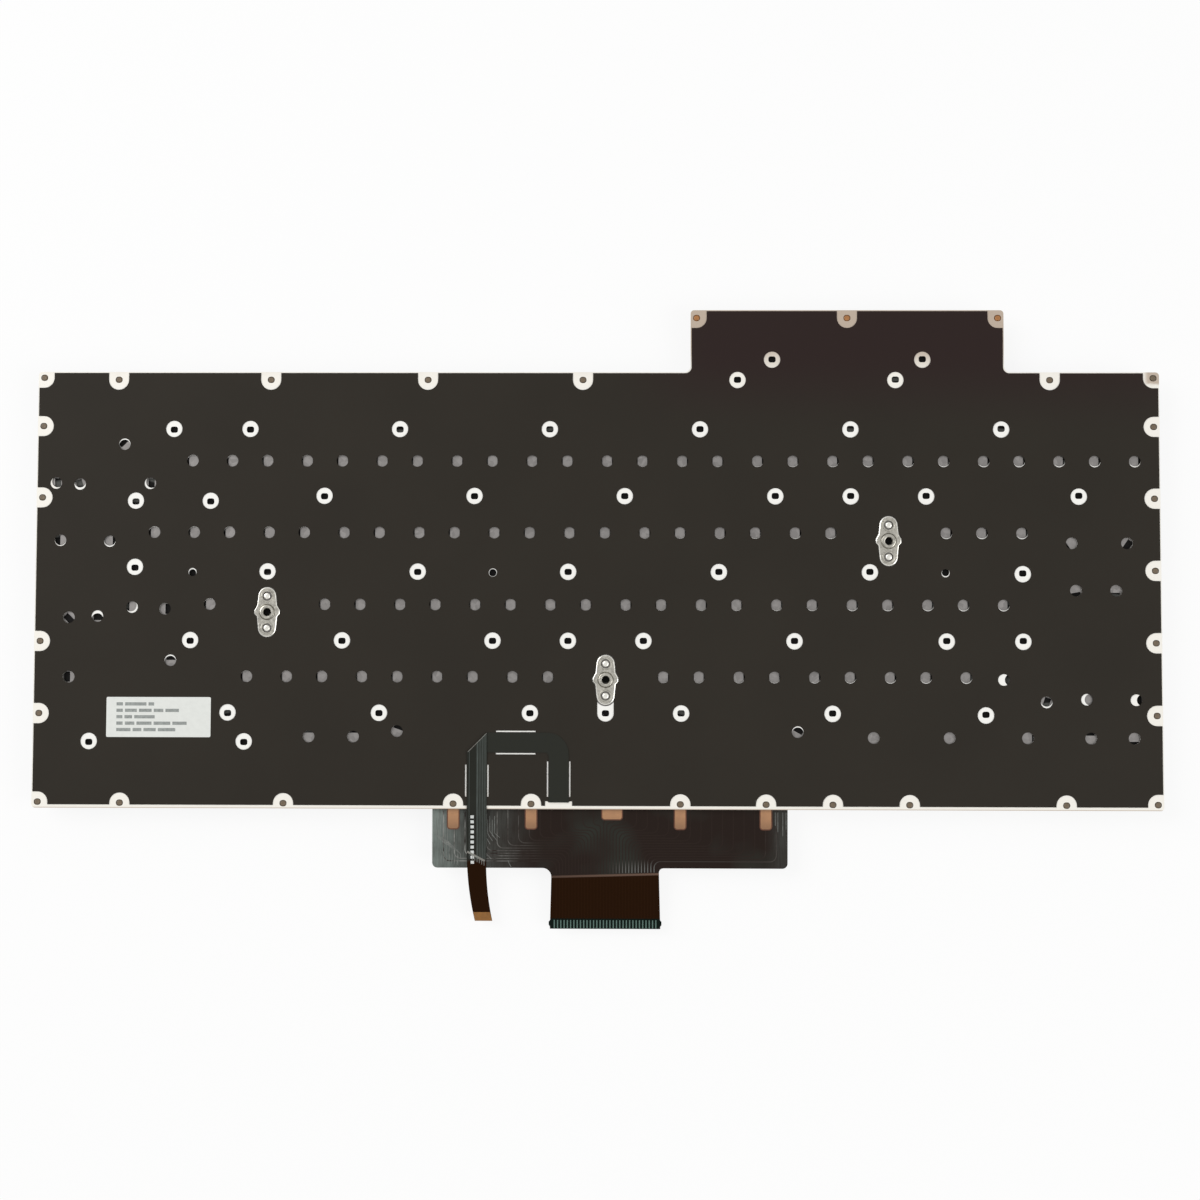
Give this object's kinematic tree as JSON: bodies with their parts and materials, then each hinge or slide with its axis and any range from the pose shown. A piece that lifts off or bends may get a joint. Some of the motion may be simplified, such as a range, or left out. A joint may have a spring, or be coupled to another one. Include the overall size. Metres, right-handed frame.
{
  "type": "laptop keyboard",
  "caption": "Thin laptop replacement keyboard: sprung island keys on a support plate, a film-covered back with stake rings, nut brackets and flex tails.",
  "frame": {"origin": "middle of the footprint, flex tails included, on the plane of the key tops, with the keyboard lying face down", "axes": "+Z out of the back, +X towards the first key of each row, -Y towards the front edge with the flex tails"},
  "size_m": [0.2848, 0.1568, 0.0058],
  "materials": {
    "keycap_plastic": "fine matt moulding",
    "dome_rubber": "silky silicone",
    "membrane_film": "printed polyester film",
    "plate_metal": "stamped sheet",
    "guide_sheet": "clear sheet",
    "reflector_white": "satin white film",
    "backing_black": "satin black film",
    "bracket_steel": "stamped, plated",
    "flex_film": "glossy flex film",
    "stiffener_film": "glossy stiffener",
    "label_paper": "coated label"
  },
  "bodies": {
    "chassis": {"support_plate": "plate_metal", "membrane_circuit": "membrane_film", "main_flex": "flex_film", "main_flex_stiffener": "stiffener_film", "rubber_domes": "dome_rubber", "light_guide": "guide_sheet", "reflector_film": "reflector_white", "backing_film": "backing_black", "backlight_flex": "flex_film", "backlight_stiffener": "stiffener_film", "nut_brackets": "bracket_steel", "bracket_rivets": "bracket_steel", "label": "label_paper", "fixed_keycaps": "keycap_plastic"},
    "number_key_01": {"number_key_01": "keycap_plastic"},
    "number_key_02": {"number_key_02": "keycap_plastic"},
    "number_key_03": {"number_key_03": "keycap_plastic"},
    "number_key_04": {"number_key_04": "keycap_plastic"},
    "number_key_05": {"number_key_05": "keycap_plastic"},
    "number_key_06": {"number_key_06": "keycap_plastic"},
    "number_key_07": {"number_key_07": "keycap_plastic"},
    "number_key_08": {"number_key_08": "keycap_plastic"},
    "number_key_09": {"number_key_09": "keycap_plastic"},
    "number_key_10": {"number_key_10": "keycap_plastic"},
    "number_key_11": {"number_key_11": "keycap_plastic"},
    "number_key_12": {"number_key_12": "keycap_plastic"},
    "number_key_13": {"number_key_13": "keycap_plastic"},
    "upper_key_01": {"upper_key_01": "keycap_plastic"},
    "upper_key_02": {"upper_key_02": "keycap_plastic"},
    "upper_key_03": {"upper_key_03": "keycap_plastic"},
    "upper_key_04": {"upper_key_04": "keycap_plastic"},
    "upper_key_05": {"upper_key_05": "keycap_plastic"},
    "upper_key_06": {"upper_key_06": "keycap_plastic"},
    "upper_key_07": {"upper_key_07": "keycap_plastic"},
    "upper_key_08": {"upper_key_08": "keycap_plastic"},
    "upper_key_09": {"upper_key_09": "keycap_plastic"},
    "upper_key_10": {"upper_key_10": "keycap_plastic"},
    "upper_key_11": {"upper_key_11": "keycap_plastic"},
    "upper_key_12": {"upper_key_12": "keycap_plastic"},
    "home_key_01": {"home_key_01": "keycap_plastic"},
    "home_key_02": {"home_key_02": "keycap_plastic"},
    "home_key_03": {"home_key_03": "keycap_plastic"},
    "home_key_04": {"home_key_04": "keycap_plastic"},
    "home_key_05": {"home_key_05": "keycap_plastic"},
    "home_key_06": {"home_key_06": "keycap_plastic"},
    "home_key_07": {"home_key_07": "keycap_plastic"},
    "home_key_08": {"home_key_08": "keycap_plastic"},
    "home_key_09": {"home_key_09": "keycap_plastic"},
    "home_key_10": {"home_key_10": "keycap_plastic"},
    "home_key_11": {"home_key_11": "keycap_plastic"},
    "lower_key_01": {"lower_key_01": "keycap_plastic"},
    "lower_key_02": {"lower_key_02": "keycap_plastic"},
    "lower_key_03": {"lower_key_03": "keycap_plastic"},
    "lower_key_04": {"lower_key_04": "keycap_plastic"},
    "lower_key_05": {"lower_key_05": "keycap_plastic"},
    "lower_key_06": {"lower_key_06": "keycap_plastic"},
    "lower_key_07": {"lower_key_07": "keycap_plastic"},
    "lower_key_08": {"lower_key_08": "keycap_plastic"},
    "lower_key_09": {"lower_key_09": "keycap_plastic"},
    "lower_key_10": {"lower_key_10": "keycap_plastic"}
  },
  "joints": [
    {"name": "number_key_01_press", "type": "slide", "parent": "chassis", "child": "number_key_01", "axis": [0, 0, 1], "range_m": [0, 0.0017], "stiffness_N_per_m": 150, "springref_m": -0.0015, "deforming": ["rubber_domes"]},
    {"name": "number_key_02_press", "type": "slide", "parent": "chassis", "child": "number_key_02", "axis": [0, 0, 1], "range_m": [0, 0.0017], "stiffness_N_per_m": 150, "springref_m": -0.0015, "deforming": ["rubber_domes"]},
    {"name": "number_key_03_press", "type": "slide", "parent": "chassis", "child": "number_key_03", "axis": [0, 0, 1], "range_m": [0, 0.0017], "stiffness_N_per_m": 150, "springref_m": -0.0015, "deforming": ["rubber_domes"]},
    {"name": "number_key_04_press", "type": "slide", "parent": "chassis", "child": "number_key_04", "axis": [0, 0, 1], "range_m": [0, 0.0017], "stiffness_N_per_m": 150, "springref_m": -0.0015, "deforming": ["rubber_domes"]},
    {"name": "number_key_05_press", "type": "slide", "parent": "chassis", "child": "number_key_05", "axis": [0, 0, 1], "range_m": [0, 0.0017], "stiffness_N_per_m": 150, "springref_m": -0.0015, "deforming": ["rubber_domes"]},
    {"name": "number_key_06_press", "type": "slide", "parent": "chassis", "child": "number_key_06", "axis": [0, 0, 1], "range_m": [0, 0.0017], "stiffness_N_per_m": 150, "springref_m": -0.0015, "deforming": ["rubber_domes"]},
    {"name": "number_key_07_press", "type": "slide", "parent": "chassis", "child": "number_key_07", "axis": [0, 0, 1], "range_m": [0, 0.0017], "stiffness_N_per_m": 150, "springref_m": -0.0015, "deforming": ["rubber_domes"]},
    {"name": "number_key_08_press", "type": "slide", "parent": "chassis", "child": "number_key_08", "axis": [0, 0, 1], "range_m": [0, 0.0017], "stiffness_N_per_m": 150, "springref_m": -0.0015, "deforming": ["rubber_domes"]},
    {"name": "number_key_09_press", "type": "slide", "parent": "chassis", "child": "number_key_09", "axis": [0, 0, 1], "range_m": [0, 0.0017], "stiffness_N_per_m": 150, "springref_m": -0.0015, "deforming": ["rubber_domes"]},
    {"name": "number_key_10_press", "type": "slide", "parent": "chassis", "child": "number_key_10", "axis": [0, 0, 1], "range_m": [0, 0.0017], "stiffness_N_per_m": 150, "springref_m": -0.0015, "deforming": ["rubber_domes"]},
    {"name": "number_key_11_press", "type": "slide", "parent": "chassis", "child": "number_key_11", "axis": [0, 0, 1], "range_m": [0, 0.0017], "stiffness_N_per_m": 150, "springref_m": -0.0015, "deforming": ["rubber_domes"]},
    {"name": "number_key_12_press", "type": "slide", "parent": "chassis", "child": "number_key_12", "axis": [0, 0, 1], "range_m": [0, 0.0017], "stiffness_N_per_m": 150, "springref_m": -0.0015, "deforming": ["rubber_domes"]},
    {"name": "number_key_13_press", "type": "slide", "parent": "chassis", "child": "number_key_13", "axis": [0, 0, 1], "range_m": [0, 0.0017], "stiffness_N_per_m": 150, "springref_m": -0.0015, "deforming": ["rubber_domes"]},
    {"name": "upper_key_01_press", "type": "slide", "parent": "chassis", "child": "upper_key_01", "axis": [0, 0, 1], "range_m": [0, 0.0017], "stiffness_N_per_m": 150, "springref_m": -0.0015, "deforming": ["rubber_domes"]},
    {"name": "upper_key_02_press", "type": "slide", "parent": "chassis", "child": "upper_key_02", "axis": [0, 0, 1], "range_m": [0, 0.0017], "stiffness_N_per_m": 150, "springref_m": -0.0015, "deforming": ["rubber_domes"]},
    {"name": "upper_key_03_press", "type": "slide", "parent": "chassis", "child": "upper_key_03", "axis": [0, 0, 1], "range_m": [0, 0.0017], "stiffness_N_per_m": 150, "springref_m": -0.0015, "deforming": ["rubber_domes"]},
    {"name": "upper_key_04_press", "type": "slide", "parent": "chassis", "child": "upper_key_04", "axis": [0, 0, 1], "range_m": [0, 0.0017], "stiffness_N_per_m": 150, "springref_m": -0.0015, "deforming": ["rubber_domes"]},
    {"name": "upper_key_05_press", "type": "slide", "parent": "chassis", "child": "upper_key_05", "axis": [0, 0, 1], "range_m": [0, 0.0017], "stiffness_N_per_m": 150, "springref_m": -0.0015, "deforming": ["rubber_domes"]},
    {"name": "upper_key_06_press", "type": "slide", "parent": "chassis", "child": "upper_key_06", "axis": [0, 0, 1], "range_m": [0, 0.0017], "stiffness_N_per_m": 150, "springref_m": -0.0015, "deforming": ["rubber_domes"]},
    {"name": "upper_key_07_press", "type": "slide", "parent": "chassis", "child": "upper_key_07", "axis": [0, 0, 1], "range_m": [0, 0.0017], "stiffness_N_per_m": 150, "springref_m": -0.0015, "deforming": ["rubber_domes"]},
    {"name": "upper_key_08_press", "type": "slide", "parent": "chassis", "child": "upper_key_08", "axis": [0, 0, 1], "range_m": [0, 0.0017], "stiffness_N_per_m": 150, "springref_m": -0.0015, "deforming": ["rubber_domes"]},
    {"name": "upper_key_09_press", "type": "slide", "parent": "chassis", "child": "upper_key_09", "axis": [0, 0, 1], "range_m": [0, 0.0017], "stiffness_N_per_m": 150, "springref_m": -0.0015, "deforming": ["rubber_domes"]},
    {"name": "upper_key_10_press", "type": "slide", "parent": "chassis", "child": "upper_key_10", "axis": [0, 0, 1], "range_m": [0, 0.0017], "stiffness_N_per_m": 150, "springref_m": -0.0015, "deforming": ["rubber_domes"]},
    {"name": "upper_key_11_press", "type": "slide", "parent": "chassis", "child": "upper_key_11", "axis": [0, 0, 1], "range_m": [0, 0.0017], "stiffness_N_per_m": 150, "springref_m": -0.0015, "deforming": ["rubber_domes"]},
    {"name": "upper_key_12_press", "type": "slide", "parent": "chassis", "child": "upper_key_12", "axis": [0, 0, 1], "range_m": [0, 0.0017], "stiffness_N_per_m": 150, "springref_m": -0.0015, "deforming": ["rubber_domes"]},
    {"name": "home_key_01_press", "type": "slide", "parent": "chassis", "child": "home_key_01", "axis": [0, 0, 1], "range_m": [0, 0.0017], "stiffness_N_per_m": 150, "springref_m": -0.0015, "deforming": ["rubber_domes"]},
    {"name": "home_key_02_press", "type": "slide", "parent": "chassis", "child": "home_key_02", "axis": [0, 0, 1], "range_m": [0, 0.0017], "stiffness_N_per_m": 150, "springref_m": -0.0015, "deforming": ["rubber_domes"]},
    {"name": "home_key_03_press", "type": "slide", "parent": "chassis", "child": "home_key_03", "axis": [0, 0, 1], "range_m": [0, 0.0017], "stiffness_N_per_m": 150, "springref_m": -0.0015, "deforming": ["rubber_domes"]},
    {"name": "home_key_04_press", "type": "slide", "parent": "chassis", "child": "home_key_04", "axis": [0, 0, 1], "range_m": [0, 0.0017], "stiffness_N_per_m": 150, "springref_m": -0.0015, "deforming": ["rubber_domes"]},
    {"name": "home_key_05_press", "type": "slide", "parent": "chassis", "child": "home_key_05", "axis": [0, 0, 1], "range_m": [0, 0.0017], "stiffness_N_per_m": 150, "springref_m": -0.0015, "deforming": ["rubber_domes"]},
    {"name": "home_key_06_press", "type": "slide", "parent": "chassis", "child": "home_key_06", "axis": [0, 0, 1], "range_m": [0, 0.0017], "stiffness_N_per_m": 150, "springref_m": -0.0015, "deforming": ["rubber_domes"]},
    {"name": "home_key_07_press", "type": "slide", "parent": "chassis", "child": "home_key_07", "axis": [0, 0, 1], "range_m": [0, 0.0017], "stiffness_N_per_m": 150, "springref_m": -0.0015, "deforming": ["rubber_domes"]},
    {"name": "home_key_08_press", "type": "slide", "parent": "chassis", "child": "home_key_08", "axis": [0, 0, 1], "range_m": [0, 0.0017], "stiffness_N_per_m": 150, "springref_m": -0.0015, "deforming": ["rubber_domes"]},
    {"name": "home_key_09_press", "type": "slide", "parent": "chassis", "child": "home_key_09", "axis": [0, 0, 1], "range_m": [0, 0.0017], "stiffness_N_per_m": 150, "springref_m": -0.0015, "deforming": ["rubber_domes"]},
    {"name": "home_key_10_press", "type": "slide", "parent": "chassis", "child": "home_key_10", "axis": [0, 0, 1], "range_m": [0, 0.0017], "stiffness_N_per_m": 150, "springref_m": -0.0015, "deforming": ["rubber_domes"]},
    {"name": "home_key_11_press", "type": "slide", "parent": "chassis", "child": "home_key_11", "axis": [0, 0, 1], "range_m": [0, 0.0017], "stiffness_N_per_m": 150, "springref_m": -0.0015, "deforming": ["rubber_domes"]},
    {"name": "lower_key_01_press", "type": "slide", "parent": "chassis", "child": "lower_key_01", "axis": [0, 0, 1], "range_m": [0, 0.0017], "stiffness_N_per_m": 150, "springref_m": -0.0015, "deforming": ["rubber_domes"]},
    {"name": "lower_key_02_press", "type": "slide", "parent": "chassis", "child": "lower_key_02", "axis": [0, 0, 1], "range_m": [0, 0.0017], "stiffness_N_per_m": 150, "springref_m": -0.0015, "deforming": ["rubber_domes"]},
    {"name": "lower_key_03_press", "type": "slide", "parent": "chassis", "child": "lower_key_03", "axis": [0, 0, 1], "range_m": [0, 0.0017], "stiffness_N_per_m": 150, "springref_m": -0.0015, "deforming": ["rubber_domes"]},
    {"name": "lower_key_04_press", "type": "slide", "parent": "chassis", "child": "lower_key_04", "axis": [0, 0, 1], "range_m": [0, 0.0017], "stiffness_N_per_m": 150, "springref_m": -0.0015, "deforming": ["rubber_domes"]},
    {"name": "lower_key_05_press", "type": "slide", "parent": "chassis", "child": "lower_key_05", "axis": [0, 0, 1], "range_m": [0, 0.0017], "stiffness_N_per_m": 150, "springref_m": -0.0015, "deforming": ["rubber_domes"]},
    {"name": "lower_key_06_press", "type": "slide", "parent": "chassis", "child": "lower_key_06", "axis": [0, 0, 1], "range_m": [0, 0.0017], "stiffness_N_per_m": 150, "springref_m": -0.0015, "deforming": ["rubber_domes"]},
    {"name": "lower_key_07_press", "type": "slide", "parent": "chassis", "child": "lower_key_07", "axis": [0, 0, 1], "range_m": [0, 0.0017], "stiffness_N_per_m": 150, "springref_m": -0.0015, "deforming": ["rubber_domes"]},
    {"name": "lower_key_08_press", "type": "slide", "parent": "chassis", "child": "lower_key_08", "axis": [0, 0, 1], "range_m": [0, 0.0017], "stiffness_N_per_m": 150, "springref_m": -0.0015, "deforming": ["rubber_domes"]},
    {"name": "lower_key_09_press", "type": "slide", "parent": "chassis", "child": "lower_key_09", "axis": [0, 0, 1], "range_m": [0, 0.0017], "stiffness_N_per_m": 150, "springref_m": -0.0015, "deforming": ["rubber_domes"]},
    {"name": "lower_key_10_press", "type": "slide", "parent": "chassis", "child": "lower_key_10", "axis": [0, 0, 1], "range_m": [0, 0.0017], "stiffness_N_per_m": 150, "springref_m": -0.0015, "deforming": ["rubber_domes"]}
  ]
}
